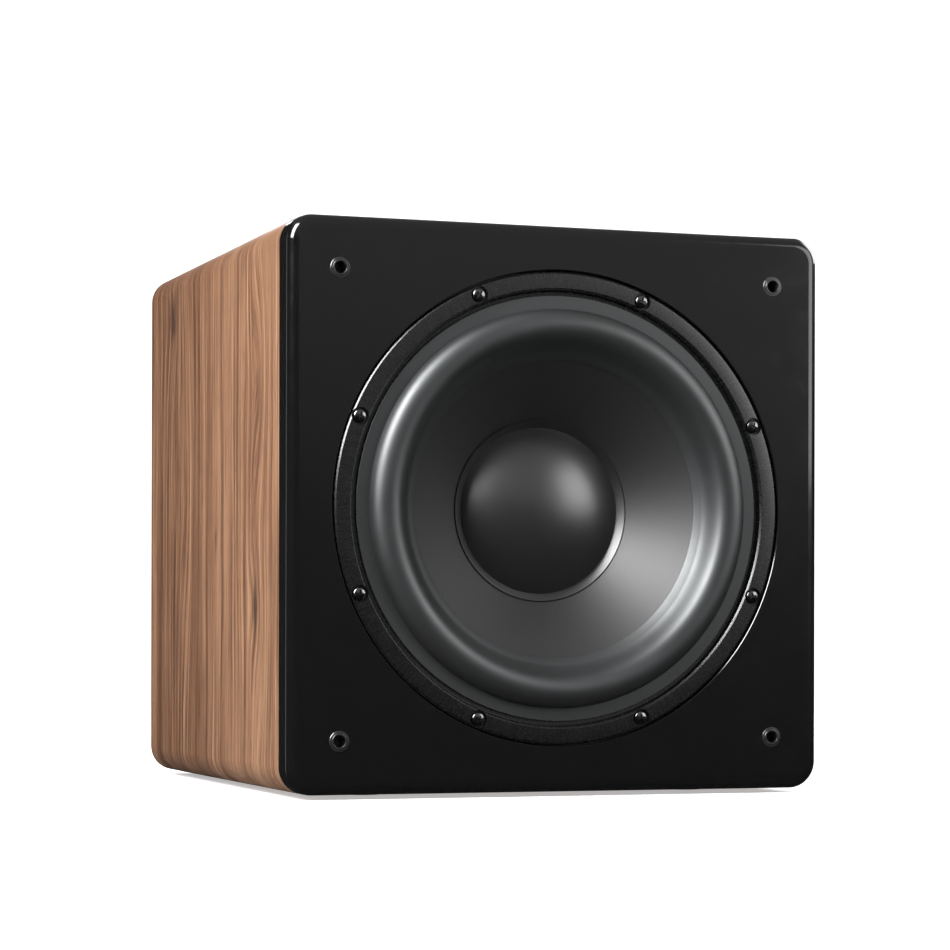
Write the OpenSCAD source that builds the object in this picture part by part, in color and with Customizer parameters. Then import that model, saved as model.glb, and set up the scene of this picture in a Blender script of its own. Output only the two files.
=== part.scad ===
// Powered subwoofer: a sealed, veneered cube with a 12 inch driver and a rear plate amplifier.
// Millimetres. The front faces -Y, +Z is up, the origin is at the bottom centre of the whole object.

/* [Cabinet] */
// Outside width of the cabinet
cabinet_w = 370; // [366:1:400]
// Outside height of the cabinet without its feet
cabinet_h = 370; // [366:1:400]
// Depth from the front face of the baffle to the rear edge
cabinet_d = 383; // [370:1:420]
// Radius of the four long edges
edge_r = 18; // [14:1:22]
// Thickness of the fibreboard panels
board_t = 18; // [16:1:20]
// Thickness of the wood veneer
veneer_t = 0.6; // [0.5:0.1:0.8]

/* [Baffle] */
// Thickness of the gloss front baffle
baffle_t = 20; // [18:1:24]
// Radius of the rounding around the front face
front_r = 8; // [4:1:10]
// Depth of the round recess that takes the driver flange
recess_d = 7; // [7:0.5:8]
// Distance between the grille sockets, across and up
socket_pitch = 301; // [296:1:304]
// Radius of the hole in a grille socket
socket_hole_r = 3.85; // [3.5:0.05:4.2]

/* [Driver] */
// Outer radius of the driver flange
flange_r = 154.2; // [153.8:0.1:154.6]
// Radius of the circle of driver screws
screw_circle_r = 148.2; // [148:0.1:148.6]
// Number of driver screws
screw_count = 8; // [4:1:8]
// Radius where the cone meets the surround
cone_r = 97.8; // [97:0.1:99]
// Radius of the dust cap dome
dust_cap_r = 55.2; // [50:0.1:56]
// Height of the dust cap dome
dust_cap_h = 18.5; // [14:0.5:20]
// Height of the surround roll above its two feet
roll_h = 10; // [8:0.5:11]
// Outer radius of the voice coil former
former_r = 32.1; // [32:0.1:32.2]

/* [Amplifier] */
// Side of the square amplifier plate
plate_w = 250; // [248:1:254]
// Thickness of the amplifier plate
plate_t = 3; // [2.5:0.5:4]
// Radius of a control knob
knob_r = 9; // [7:0.5:10]
// How far a control knob stands out from the plate
knob_reach = 16; // [15:0.5:18]
// How far the cooling fins stand out from the plate
fin_reach = 13; // [8:1:14]
// Number of cooling fins
fin_count = 12; // [8:1:14]

/* [Feet] */
// Radius of a rubber foot
foot_r = 15; // [10:1:20]
// Height of a rubber foot
foot_h = 3; // [2:0.5:6]
// Distance from the cabinet sides to the centre of a foot
foot_inset = 70; // [30:1:90]

/* [Hidden] */
$fn = 96;

// Frame of the whole object
socket_proud = 0.8;
gasket_t = 1;
land_d = 2.8;
front_reach = roll_h - land_d;
rear_reach = gasket_t + plate_t + knob_reach;
front_y = -(cabinet_d + rear_reach - front_reach) / 2;
back_y = front_y + cabinet_d;
axis_z = foot_h + cabinet_h / 2;
wall_t = board_t + veneer_t;
inner_w = cabinet_w - 2 * wall_t;
inner_h = cabinet_h - 2 * wall_t;
back_d = cabinet_d - board_t;

// Driver depths, measured back from the front plane
flange_t = recess_d - gasket_t;
seat_d = 4.8;
rubber_t = 1.2;
cone_t = 1.6;
cone_lip_r = 107;
cone_slope = 0.761;
cone_edge_d = 11.2;
neck_d = cone_edge_d + (cone_r - former_r) * cone_slope;
shelf_d = 66;
plate_front_d = 96;
plate_back_d = 104;
magnet_back_d = 128;
yoke_back_d = 136;
pole_r = 30.8;
gap_r = 34.4;
screw_start = 22.5;
lead_gap = 6;
lead_d = 58;

// Amplifier places: across (x) and up (z) from the centre of the plate
amp_y = back_y + gasket_t;
opening_w = 222;
box_w = 216;
box_d = 78;
box_t = 1.2;
gain_at = [-36, 88];
crossover_at = [-86, 88];
phase_at = [-36, 48];
mode_at = [-86, 48];
led_at = [-61, 68];
jack_left_at = [-46, 8];
jack_right_at = [-76, 8];
inlet_at = [-61, -88];
rocker_at = [-61, -44];
sink_at = [58, 42];
sink_w = 96;
sink_h = 130;
transformer_at = [58, -60];
fixing_pitch = 118;
shaft_r = 3;
shaft_gap = 0.05;
wire_hole_at = [20, 96];
wire_r = 1.6;

// ---------- shared shapes ----------

module rounded_square(w, h, r) {
    square([w - 2 * r, h], center = true);
    square([w, h - 2 * r], center = true);
    for (x = [-1, 1], z = [-1, 1])
        translate([x * (w / 2 - r), z * (h / 2 - r)]) circle(r);
}

// A flat shape seen from the front, given thickness between two depths behind the front plane
module between(d0, d1) {
    translate([0, front_y + d1, axis_z]) rotate([90, 0, 0]) linear_extrude(d1 - d0) children();
}

// Local +Z runs back along the driver axis from the front plane
module on_driver() {
    translate([0, front_y, axis_z]) rotate([-90, 0, 0]) children();
}

// A turned part whose outline is a list of [radius, depth]
module turned(outline) {
    on_driver() rotate_extrude() polygon(outline);
}

module around_screws() {
    for (i = [0 : screw_count - 1])
        rotate([0, 0, screw_start + i * 360 / screw_count])
            translate([screw_circle_r, 0, 0]) children();
}

// Local +Z points out of the rear, starting at the inner face of the amplifier plate
module on_plate(at, out = 0) {
    translate([at[0], amp_y + out, axis_z + at[1]]) rotate([-90, 0, 0]) children();
}

// A box on the amplifier plate: w across, h up, from one distance out to another
module plate_box(at, w, h, out0, out1) {
    translate([at[0] - w / 2, amp_y + out0, axis_z + at[1] - h / 2]) cube([w, out1 - out0, h]);
}

// Depth of the front of the cone and of the curved roll at a radius
function cone_depth(r) = cone_edge_d + (cone_r - r) * cone_slope;
function roll_point(t, r_in, r_out, d, h) =
    [(r_in + r_out) / 2 + (r_out - r_in) / 2 * cos(t), d - h * sin(t)];
function reversed(points) = [for (i = [len(points) - 1 : -1 : 0]) points[i]];

// ---------- cabinet ----------

module cabinet_ring_2d(outset, inset, r) {
    difference() {
        rounded_square(cabinet_w - 2 * outset, cabinet_h - 2 * outset, r);
        square([cabinet_w - 2 * inset, cabinet_h - 2 * inset], center = true);
    }
}

module veneer_wrap() {
    color([0.62, 0.46, 0.34]) between(baffle_t, cabinet_d) difference() {
        rounded_square(cabinet_w, cabinet_h, edge_r);
        rounded_square(cabinet_w - 2 * veneer_t, cabinet_h - 2 * veneer_t, edge_r - veneer_t);
    }
}

// One mitred board: turn 0 is the top, 90 the left, 180 the bottom, 270 the right
module mitred_board(turn) {
    reach = max(cabinet_w, cabinet_h);
    mitre = cabinet_w / 2 - wall_t;
    lift = cabinet_h / 2 - wall_t;
    corner = turn % 180 == 0 ? [mitre, lift] : [lift, mitre];
    color([0.58, 0.45, 0.32]) between(baffle_t, cabinet_d) intersection() {
        cabinet_ring_2d(veneer_t, wall_t, edge_r - veneer_t);
        rotate(turn) polygon([[-corner[0], corner[1]], [corner[0], corner[1]],
            [corner[0] + reach, corner[1] + reach], [-corner[0] - reach, corner[1] + reach]]);
    }
}
module top_panel() mitred_board(0);
module left_panel() mitred_board(90);
module bottom_panel() mitred_board(180);
module right_panel() mitred_board(270);

// Section across the rim of a plate: outward from the start of its corner, back from its front
module rim_section(r, t, e) {
    square([r - e, t]);
    translate([0, e]) square([r, t - e]);
    translate([r - e, e]) circle(e);
}

// A plate with rounded corners whose front edges are rounded all the way round
module soft_edged_plate(w, h, r, t, e) {
    on_driver() {
        translate([r - w / 2, r - h / 2, 0]) cube([w - 2 * r, h - 2 * r, t]);
        for (k = [0 : 3]) {
            sx = k == 0 || k == 3 ? 1 : -1;
            sy = k < 2 ? 1 : -1;
            translate([sx * (w / 2 - r), sy * (h / 2 - r), 0]) rotate([0, 0, 90 * k])
                rotate_extrude(angle = 90) rim_section(r, t, e);
            rotate([0, 0, 90 * k]) translate([(k % 2 == 0 ? w : h) / 2 - r, 0, 0]) rotate([90, 0, 0])
                linear_extrude((k % 2 == 0 ? h : w) - 2 * r, center = true) rim_section(r, t, e);
        }
    }
}

module front_baffle() {
    color([0.05, 0.05, 0.055]) difference() {
        soft_edged_plate(cabinet_w, cabinet_h, edge_r, baffle_t, front_r);
        on_driver() {
            translate([0, 0, -1]) cylinder(r = flange_r + 1, h = recess_d + 1);
            translate([0, 0, -0.1]) cylinder(r1 = flange_r + 2.4, r2 = flange_r + 1, h = 1.4);
            cylinder(r = 141, h = baffle_t + 1);
            around_screws() {
                cylinder(r = 2.75, h = baffle_t + 1);
                translate([0, 0, 12]) cylinder(r = 3.2, h = baffle_t);
            }
            for (x = [-1, 1], z = [-1, 1])
                translate([x * socket_pitch / 2, z * socket_pitch / 2, -1]) cylinder(r = 5.6, h = 15);
        }
    }
}

module back_panel() {
    color([0.1, 0.1, 0.1]) between(back_d, cabinet_d) difference() {
        square([inner_w, inner_h], center = true);
        rounded_square(opening_w, opening_w, 8);
        for (x = [-1 : 1], z = [-1 : 1]) if (x != 0 || z != 0)
            translate([x * fixing_pitch, z * fixing_pitch]) circle(1.6);
    }
}

module window_brace() {
    color([0.58, 0.45, 0.32]) between(190, 208) difference() {
        square([inner_w, inner_h], center = true);
        rounded_square(inner_w - 90, inner_h - 90, 25);
    }
}

// Soft fibre pads on the top, left and right walls between the brace and the back panel
module acoustic_wadding() {
    pad_t = 22;
    color([0.85, 0.85, 0.82]) translate([0, 0, axis_z]) {
        for (side = [-1, 1])
            translate([side * (inner_w - pad_t) / 2, front_y + 286, 0])
                cube([pad_t, 150, inner_h - 70], center = true);
        translate([0, front_y + 286, (inner_h - pad_t) / 2])
            cube([inner_w - 2 * pad_t - 10, 150, pad_t], center = true);
    }
}

module foot(x, y) {
    color([0.08, 0.08, 0.08])
        translate([x * (cabinet_w / 2 - foot_inset), front_y + (y < 0 ? foot_inset
            : cabinet_d - foot_inset), 0]) {
            cylinder(r1 = foot_r - 1, r2 = foot_r, h = 1);
            translate([0, 0, 1]) cylinder(r = foot_r, h = foot_h - 1);
        }
}
module foot_front_left() foot(-1, -1);
module foot_front_right() foot(1, -1);
module foot_rear_left() foot(-1, 1);
module foot_rear_right() foot(1, 1);

module grille_socket(x, z) {
    color([0.12, 0.12, 0.12])
        translate([x * socket_pitch / 2, 0, z * socket_pitch / 2]) turned([
            [socket_hole_r, -0.4], [4.3, -socket_proud], [5.4, -socket_proud], [6.7, 0],
            [5.6, 0], [5.6, 14], [0, 14], [0, 11], [socket_hole_r, 11]]);
}
module grille_socket_top_left() grille_socket(-1, 1);
module grille_socket_top_right() grille_socket(1, 1);
module grille_socket_bottom_left() grille_socket(-1, -1);
module grille_socket_bottom_right() grille_socket(1, -1);

// ---------- driver ----------

// Wedge-shaped windows between the six spokes
module spoke_windows(d0, d1, r0, r1) {
    for (i = [0 : 5]) rotate([0, 0, i * 60]) translate([0, 0, d0])
        linear_extrude(d1 - d0)
            polygon([[r0, -r0 * 0.4], [r1, -r1 * 0.4], [r1, r1 * 0.4], [r0, r0 * 0.4]]);
}

module driver_basket() {
    color([0.16, 0.16, 0.17]) on_driver() difference() {
        rotate_extrude() polygon([
            [flange_r, 1], [flange_r - 1.6, 0], [143, 0], [142.4, 0.25], [142, 0.8], [141.4, seat_d],
            [131, seat_d], [131, 8], [134, 12], [134, 20], [80.5, shelf_d], [68, shelf_d],
            [68, 69.5], [80, 69.5], [80, 92], [40, 92], [40, plate_front_d], [84, plate_front_d],
            [84, 69], [138.5, 20], [138.5, flange_t], [flange_r, flange_t]]);
        spoke_windows(24, 63, 60, 140);
        spoke_windows(72, 90, 70, 90);
        around_screws() {
            translate([0, 0, -1]) cylinder(r = 2.75, h = flange_t + 2);
            translate([0, 0, -1]) cylinder(r = 5.75, h = 3.4);
        }
        for (x = [-1, 1]) translate([x * lead_gap, -80, lead_d]) rotate([90, 0, 0])
            cylinder(r = 1.5, h = 25);
    }
}

module driver_gasket() {
    color([0.05, 0.05, 0.05]) on_driver() translate([0, 0, flange_t]) difference() {
        cylinder(r = flange_r - 0.5, h = gasket_t);
        translate([0, 0, -1]) cylinder(r = 141.5, h = gasket_t + 2);
        around_screws() translate([0, 0, -1]) cylinder(r = 2.75, h = gasket_t + 2);
    }
}

module surround() {
    steps = [0 : 9 : 180];
    foot_in = 107.8;
    outer = [for (t = steps) roll_point(t, foot_in, 130.3, land_d, roll_h)];
    inner = [for (t = steps) roll_point(t, foot_in + 1.4, 129.1, land_d + 1.4, roll_h)];
    color([0.2, 0.2, 0.2]) turned(concat(
        [[129.1, seat_d], [138.8, seat_d], [138.8, land_d]], outer,
        [[cone_r, cone_edge_d - rubber_t], [cone_r, cone_depth(cone_r)],
         [cone_lip_r, cone_depth(cone_lip_r)]], reversed(inner)));
}

module cone() {
    color([0.12, 0.12, 0.12]) turned([
        [cone_lip_r, cone_depth(cone_lip_r)], [former_r, neck_d], [former_r, neck_d + cone_t],
        [cone_lip_r, cone_depth(cone_lip_r) + cone_t]]);
}

module dust_cap() {
    rim_d = cone_depth(dust_cap_r) - 1.2;
    sphere_r = (pow(dust_cap_r, 2) + pow(dust_cap_h, 2)) / (2 * dust_cap_h);
    half = asin(dust_cap_r / sphere_r);
    steps = [0 : 0.1 : 1];
    outer = [for (s = steps) [sphere_r * sin(half * s),
        rim_d - dust_cap_h + sphere_r * (1 - cos(half * s))]];
    inner = [for (s = steps) [(sphere_r - 1) * sin(half * s),
        rim_d - dust_cap_h + sphere_r - (sphere_r - 1) * cos(half * s)]];
    flange_out = dust_cap_r + 5.1;
    color([0.12, 0.12, 0.12]) turned(concat(outer,
        [[flange_out, cone_depth(flange_out) - 1], [flange_out, cone_depth(flange_out)],
         [inner[10][0], cone_depth(inner[10][0])]], reversed(inner)));
}

module coil_former() {
    color([0.75, 0.7, 0.5]) on_driver() translate([0, 0, 55]) difference() {
        cylinder(r = former_r, h = 57);
        translate([0, 0, -1]) cylinder(r = former_r - 0.3, h = 59);
    }
}

module voice_coil() {
    color([0.72, 0.4, 0.2]) on_driver() translate([0, 0, 88]) difference() {
        cylinder(r = former_r + 1.2, h = 24);
        translate([0, 0, -1]) cylinder(r = former_r, h = 26);
    }
}

// Corrugated disc that keeps the coil centred
module spider() {
    top = [for (r = [36 : 1 : 66]) [r, 65.2 + 2 * sin((r - 36) * 60)]];
    color([0.75, 0.6, 0.3]) turned(concat([[former_r, 65.2]], top,
        [[76, 65.2], [76, shelf_d]],
        reversed([for (p = top) [p[0], p[1] + 0.8]]), [[former_r, 66]]));
}

module top_plate() {
    color([0.35, 0.35, 0.36]) on_driver() translate([0, 0, plate_front_d]) difference() {
        cylinder(r = 68, h = plate_back_d - plate_front_d);
        translate([0, 0, -1]) cylinder(r = gap_r, h = 20);
    }
}

module ring_magnet() {
    color([0.18, 0.18, 0.19]) on_driver() translate([0, 0, plate_back_d]) difference() {
        cylinder(r = 75, h = magnet_back_d - plate_back_d);
        translate([0, 0, -1]) cylinder(r = 40, h = 40);
    }
}

module pole_yoke() {
    color([0.4, 0.4, 0.42]) on_driver() difference() {
        union() {
            translate([0, 0, magnet_back_d]) cylinder(r = 68, h = yoke_back_d - magnet_back_d);
            translate([0, 0, 94]) cylinder(r = pole_r, h = yoke_back_d - 94);
        }
        translate([0, 0, 90]) cylinder(r = 9, h = 50);
    }
}

// Two flexible braids from the cone neck out through the top spoke to the terminals
module tinsel_leads() {
    color([0.8, 0.5, 0.3]) on_driver() for (x = [-1, 1])
        lead([for (s = [0 : 0.125 : 1])
            [x * lead_gap, -36 - 60 * s,
                lead_d + (61.5 - lead_d) * (1 - s) * (1 - s) - sin(360 * s) * (1 - s)]], 0.8);
}

module driver_terminals() {
    color([0.5, 0.25, 0.12]) on_driver() difference() {
        translate([-12, -103, 56]) cube([24, 18, 9]);
        translate([0, 0, 20]) cylinder(r1 = 138.5, r2 = 84, h = 49);
        for (x = [-1, 1]) translate([x * lead_gap, -80, lead_d]) rotate([90, 0, 0])
            cylinder(r = 1, h = 20);
    }
}

module driver_screws() {
    color([0.08, 0.08, 0.085]) on_driver() around_screws() difference() {
        union() {
            rotate_extrude() polygon([[0, -0.3], [1.6, -0.15], [2.9, 0.3], [3.9, 1.1], [4.4, 2.4],
                [0, 2.4]]);
            translate([0, 0, 2.4]) cylinder(r = 2.45, h = 19.6);
        }
        for (a = [0, 90]) rotate([0, 0, a]) cube([4, 0.9, 2.4], center = true);
    }
}

module t_nuts() {
    color([0.7, 0.7, 0.65]) on_driver() around_screws() difference() {
        union() {
            translate([0, 0, 12.5]) cylinder(r = 3.2, h = baffle_t - 12.5);
            translate([0, 0, baffle_t]) cylinder(r = 6.5, h = 1.2);
        }
        translate([0, 0, 10]) cylinder(r = 2.45, h = 20);
    }
}

// ---------- amplifier ----------

module plate_fixings() {
    for (x = [-1 : 1], z = [-1 : 1]) if (x != 0 || z != 0)
        on_plate([x * fixing_pitch, z * fixing_pitch]) children();
}

module amp_plate() {
    color([0.09, 0.09, 0.095]) difference() {
        translate([0, amp_y + plate_t, axis_z]) rotate([90, 0, 0])
            linear_extrude(plate_t) rounded_square(plate_w, plate_w, 6);
        plate_fixings() translate([0, 0, -1]) cylinder(r = 2.1, h = 9);
        for (at = [gain_at, crossover_at]) on_plate(at, -1) cylinder(r = 3.6, h = 9);
        for (at = [jack_left_at, jack_right_at]) on_plate(at, -1) cylinder(r = 4.15, h = 9);
        on_plate(led_at, -1) cylinder(r = 2.5, h = 9);
        on_plate(transformer_at, -1) cylinder(r = 3.1, h = 9);
        plate_box(phase_at, 4.6, 9, -1, 9);
        plate_box(mode_at, 4.6, 13, -1, 9);
        plate_box(inlet_at, 27.4, 19.9, -1, 9);
        plate_box(rocker_at, 19.2, 13, -1, 9);
        for (x = [-20, 20]) on_plate(inlet_at + [x, 0], -1) cylinder(r = 1.6, h = 9);
    }
}

module amp_gasket() {
    color([0.06, 0.06, 0.06]) difference() {
        translate([0, amp_y, axis_z]) rotate([90, 0, 0]) linear_extrude(gasket_t) difference() {
            rounded_square(plate_w - 2, plate_w - 2, 5);
            square(opening_w + 2, center = true);
        }
        plate_fixings() translate([0, 0, -3]) cylinder(r = 2.1, h = 9);
    }
}

// Pan-head screw pointing into the cabinet, with a cross recess
module pan_screw(head_r, head_h, shank_r, shank_l) {
    difference() {
        union() {
            rotate_extrude() polygon([[0, 0], [head_r, 0], [head_r * 0.92, head_h * 0.5],
                [head_r * 0.6, head_h * 0.88], [0, head_h]]);
            translate([0, 0, -shank_l]) cylinder(r = shank_r, h = shank_l);
        }
        for (a = [0, 90]) rotate([0, 0, a])
            translate([0, 0, head_h]) cube([head_r * 1.1, 0.8, head_h], center = true);
    }
}

module amp_screws() {
    color([0.1, 0.1, 0.1]) {
        plate_fixings() translate([0, 0, plate_t]) pan_screw(3.8, 2.2, 1.55, 18);
        for (x = [-20, 20]) on_plate(inlet_at + [x, 0], plate_t + 1.6) pan_screw(2.6, 1.6, 1.4, 7);
    }
}

module amp_back_box() {
    color([0.55, 0.56, 0.58]) difference() {
        plate_box([0, 0], box_w, box_w, -box_d, 0);
        plate_box([0, 0], box_w - 2 * box_t, box_w - 2 * box_t, box_t - box_d, 1);
        on_plate(wire_hole_at, -box_d - 1) cylinder(r = 5, h = 4);
    }
}

module heat_sink() {
    color([0.07, 0.07, 0.075]) {
        plate_box(sink_at, sink_w, sink_h, plate_t, plate_t + 4);
        for (i = [0 : fin_count - 1])
            plate_box(sink_at + [(i / (fin_count - 1) - 0.5) * (sink_w - 2), 0], 2, sink_h,
                plate_t + 3, plate_t + fin_reach);
    }
}

module main_board() {
    color([0.1, 0.32, 0.16]) difference() {
        plate_box([57, 48], 94, 112, -19.6, -18);
        for (x = [14, 100], z = [-4, 100]) on_plate([x, z], -21) cylinder(r = 1.7, h = 5);
    }
}

module control_board() {
    color([0.1, 0.32, 0.16]) difference() {
        plate_box([-61, 48], 84, 112, -15.6, -14);
        for (x = [-99, -23], z = [-4, 100]) on_plate([x, z], -17) cylinder(r = 1.7, h = 5);
    }
}

module board_standoffs() {
    color([0.75, 0.72, 0.5]) {
        for (x = [14, 100], z = [-4, 100]) on_plate([x, z], -18) cylinder(r = 3, h = 18, $fn = 6);
        for (x = [-99, -23], z = [-4, 100]) on_plate([x, z], -14) cylinder(r = 3, h = 14, $fn = 6);
    }
}

module transformer() {
    color([0.85, 0.75, 0.3]) on_plate(transformer_at, -40) rotate_extrude()
        difference() {
            translate([12, 0]) square([32, 40]);
            for (r = [12, 44], z = [0, 40]) translate([r, z]) rotate(45) square(5, center = true);
        }
}

module transformer_bolt() {
    color([0.7, 0.7, 0.72]) on_plate(transformer_at) {
        translate([0, 0, -44]) cylinder(r = 3, h = 44 + plate_t);
        translate([0, 0, -42]) cylinder(r = 30, h = 2);
        translate([0, 0, plate_t]) cylinder(r = 5.8, h = 4, $fn = 6);
    }
}

module reservoir_capacitors() {
    color([0.1, 0.12, 0.3]) for (x = [28, 58, 88], z = [70])
        on_plate([x, z], -59.6) cylinder(r = 12.5, h = 40);
}

module power_transistors() {
    color([0.1, 0.1, 0.1]) for (x = [26, 46, 66, 86])
        plate_box([x, 24], 15.6, 20, -5, 0);
}

module mains_inlet() {
    color([0.07, 0.07, 0.07]) difference() {
        union() {
            translate([inlet_at[0], amp_y + plate_t + 1.6, axis_z + inlet_at[1]])
                rotate([90, 0, 0]) linear_extrude(1.6) rounded_square(50, 24, 5);
            plate_box(inlet_at, 27, 19.5, -20, plate_t + 1);
        }
        plate_box(inlet_at, 24, 16.5, -17.5, plate_t + 3);
        for (x = [-20, 20]) on_plate(inlet_at + [x, 0], -1) cylinder(r = 1.5, h = 9);
    }
}

module inlet_pins() {
    color([0.8, 0.8, 0.78]) {
        for (x = [-7, 7]) plate_box(inlet_at + [x, -2], 2, 4, -17.5, -1);
        plate_box(inlet_at + [0, 2.5], 2, 4, -17.5, 0);
    }
}

// Bezel and body of the mains switch, with a window for the rocker
module rocker_housing() {
    color([0.06, 0.06, 0.06]) difference() {
        union() {
            plate_box(rocker_at, 22, 15.6, plate_t, plate_t + 2);
            plate_box(rocker_at, 19, 12.8, -12, plate_t + 1);
        }
        plate_box(rocker_at, 16.4, 10.4, -9, plate_t + 3);
        translate([rocker_at[0], amp_y - 2, axis_z + rocker_at[1]])
            cylinder(r = 1.05, h = 12, center = true);
    }
}

// The rocker tilts about a vertical pin: its rest position is off
module power_rocker() {
    color([0.08, 0.08, 0.08])
        translate([rocker_at[0], amp_y - 2, axis_z + rocker_at[1]]) rotate([0, 0, -9]) {
            linear_extrude(9.6, center = true)
                polygon([[-6.7, 0], [-6.7, 7.6], [0, 5.8], [6.7, 7.6], [6.7, 0], [2, -4], [-2, -4]]);
            cylinder(r = 1, h = 11.8, center = true);
        }
}

module line_in_jacks() {
    color([0.8, 0.65, 0.3]) for (at = [jack_left_at, jack_right_at]) {
        on_plate(at) difference() {
            translate([0, 0, -4]) cylinder(r = 4.15, h = plate_t + 13);
            translate([0, 0, -5]) cylinder(r = 3.2, h = plate_t + 20);
        }
        on_plate(at, plate_t) difference() {
            cylinder(r = 6, h = 2, $fn = 6);
            translate([0, 0, -1]) cylinder(r = 4.15, h = 4);
        }
    }
}

module jack_inserts() {
    color([0.75, 0.1, 0.1]) for (at = [jack_left_at, jack_right_at])
        on_plate(at) difference() {
            translate([0, 0, -14]) cylinder(r = 3.2, h = plate_t + 21);
            translate([0, 0, -4]) cylinder(r = 1.65, h = plate_t + 30);
        }
}

// Knob and its shaft turn together; a groove marks the pointer
module control_knob(at) {
    color([0.1, 0.1, 0.1]) on_plate(at, plate_t) {
        difference() {
            union() {
                translate([0, 0, 2.2]) cylinder(r = knob_r, h = 3);
                translate([0, 0, 4]) cylinder(r1 = knob_r - 1.2, r2 = knob_r - 1.8, h = knob_reach - 4);
            }
            translate([0, 0, 1]) cylinder(r = 5.2, h = 6);
            translate([0, knob_r * -0.5, knob_reach]) cube([1.2, knob_r, 1.6], center = true);
        }
        translate([0, 0, -plate_t - 8]) cylinder(r = shaft_r, h = plate_t + 16);
    }
}
module gain_knob() control_knob(gain_at);
module crossover_knob() control_knob(crossover_at);

// Potentiometer: a body on the control board with a bushing and a nut through the plate
module control_pot(at) {
    color([0.6, 0.6, 0.58]) difference() {
        union() {
            plate_box(at, 17, 17, -14, -2);
            on_plate(at, -3) cylinder(r = 3.55, h = plate_t + 7);
            on_plate(at, plate_t) cylinder(r = 4.9, h = 2, $fn = 6);
        }
        on_plate(at, -8.1) cylinder(r = shaft_r + shaft_gap, h = 30);
    }
}
module gain_pot() control_pot(gain_at);
module crossover_pot() control_pot(crossover_at);

module slide_switch_bodies() {
    color([0.65, 0.65, 0.63]) {
        difference() {
            plate_box(phase_at, 9, 14, -14, 0);
            plate_box(phase_at, 4.4, 8.8, -5, 1);
        }
        difference() {
            plate_box(mode_at, 9, 18, -14, 0);
            plate_box(mode_at, 4.4, 12.8, -5, 1);
        }
    }
}

// A slider at the lower end of its slot
module switch_slider(at, travel) {
    color([0.85, 0.85, 0.85]) {
        plate_box(at - [0, travel / 2], 4, 4, -4.8, plate_t + 2.5);
        for (z = [-1, 0, 1]) plate_box(at + [0, z - travel / 2], 4, 0.5, plate_t + 2, plate_t + 2.9);
    }
}
module phase_slider() switch_slider(phase_at, 4);
module mode_slider() switch_slider(mode_at, 8);

module led_lens() {
    color([0.2, 0.4, 0.9]) on_plate(led_at) {
        translate([0, 0, -14]) cylinder(r = 2.5, h = plate_t + 15);
        translate([0, 0, -1]) cylinder(r = 2.9, h = 1);
        translate([0, 0, plate_t + 1]) intersection() {
            sphere(2.5);
            cylinder(r = 3, h = 3);
        }
    }
}

// ---------- wiring ----------

// Points of a ring around p, square to the direction dir
function ring_points(p, dir, r) =
    let (z = dir / norm(dir), side = cross(z, abs(z[0]) < 0.8 ? [1, 0, 0] : [0, 1, 0]),
         u = side / norm(side), v = cross(z, u))
    [for (k = [0 : 7]) p + r * (cos(45 * k) * u + sin(45 * k) * v)];

// A round lead swept along a list of points
module lead(path, r) {
    n = len(path);
    rings = [for (i = [0 : n - 1])
        ring_points(path[i], path[min(i + 1, n - 1)] - path[max(i - 1, 0)], r)];
    polyhedron(points = [for (ring = rings) each ring],
        faces = concat([[for (k = [0 : 7]) k]],
            [for (i = [0 : n - 2], k = [0 : 7])
                [i * 8 + k, (i + 1) * 8 + k, (i + 1) * 8 + (k + 1) % 8, i * 8 + (k + 1) % 8]],
            [[for (k = [7 : -1 : 0]) (n - 1) * 8 + k]]));
}

// Smooth curve from one point to another that leaves and arrives along given pulls
function bend(a, pull_a, b, pull_b, n) = [for (i = [0 : n]) let (t = i / n, s = 1 - t)
    s * s * s * a + 3 * s * s * t * (a + pull_a) + 3 * s * t * t * (b + pull_b) + t * t * t * b];

module speaker_lead(side) {
    start = [wire_hole_at[0] + side * 2.2, amp_y - 19.6, axis_z + wire_hole_at[1]];
    outlet = start - [0, 75, 0];
    finish = [side * lead_gap, front_y + 61, axis_z + 103];
    lead(concat([start], bend(outlet, [0, -60, 0], finish + [0, 0, 3], [0, 30, 25], 16),
        [finish]), wire_r);
}
module speaker_lead_red() color([0.7, 0.08, 0.08]) speaker_lead(-1);
module speaker_lead_black() color([0.08, 0.08, 0.08]) speaker_lead(1);

veneer_wrap();
top_panel();
bottom_panel();
left_panel();
right_panel();
front_baffle();
back_panel();
window_brace();
acoustic_wadding();
foot_front_left();
foot_front_right();
foot_rear_left();
foot_rear_right();
grille_socket_top_left();
grille_socket_top_right();
grille_socket_bottom_left();
grille_socket_bottom_right();
driver_basket();
driver_gasket();
surround();
cone();
dust_cap();
coil_former();
voice_coil();
spider();
top_plate();
ring_magnet();
pole_yoke();
tinsel_leads();
driver_terminals();
driver_screws();
t_nuts();
amp_plate();
amp_gasket();
amp_screws();
amp_back_box();
heat_sink();
main_board();
control_board();
board_standoffs();
transformer();
transformer_bolt();
reservoir_capacitors();
power_transistors();
mains_inlet();
inlet_pins();
rocker_housing();
power_rocker();
line_in_jacks();
jack_inserts();
gain_knob();
gain_pot();
crossover_knob();
crossover_pot();
slide_switch_bodies();
phase_slider();
mode_slider();
led_lens();
speaker_lead_red();
speaker_lead_black();
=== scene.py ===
"""Looks of a powered subwoofer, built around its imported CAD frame. Metres, +Z up, the front faces -Y."""

import math
import random

import bmesh
import bpy
import numpy as np
from mathutils import Matrix, Vector


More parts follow.
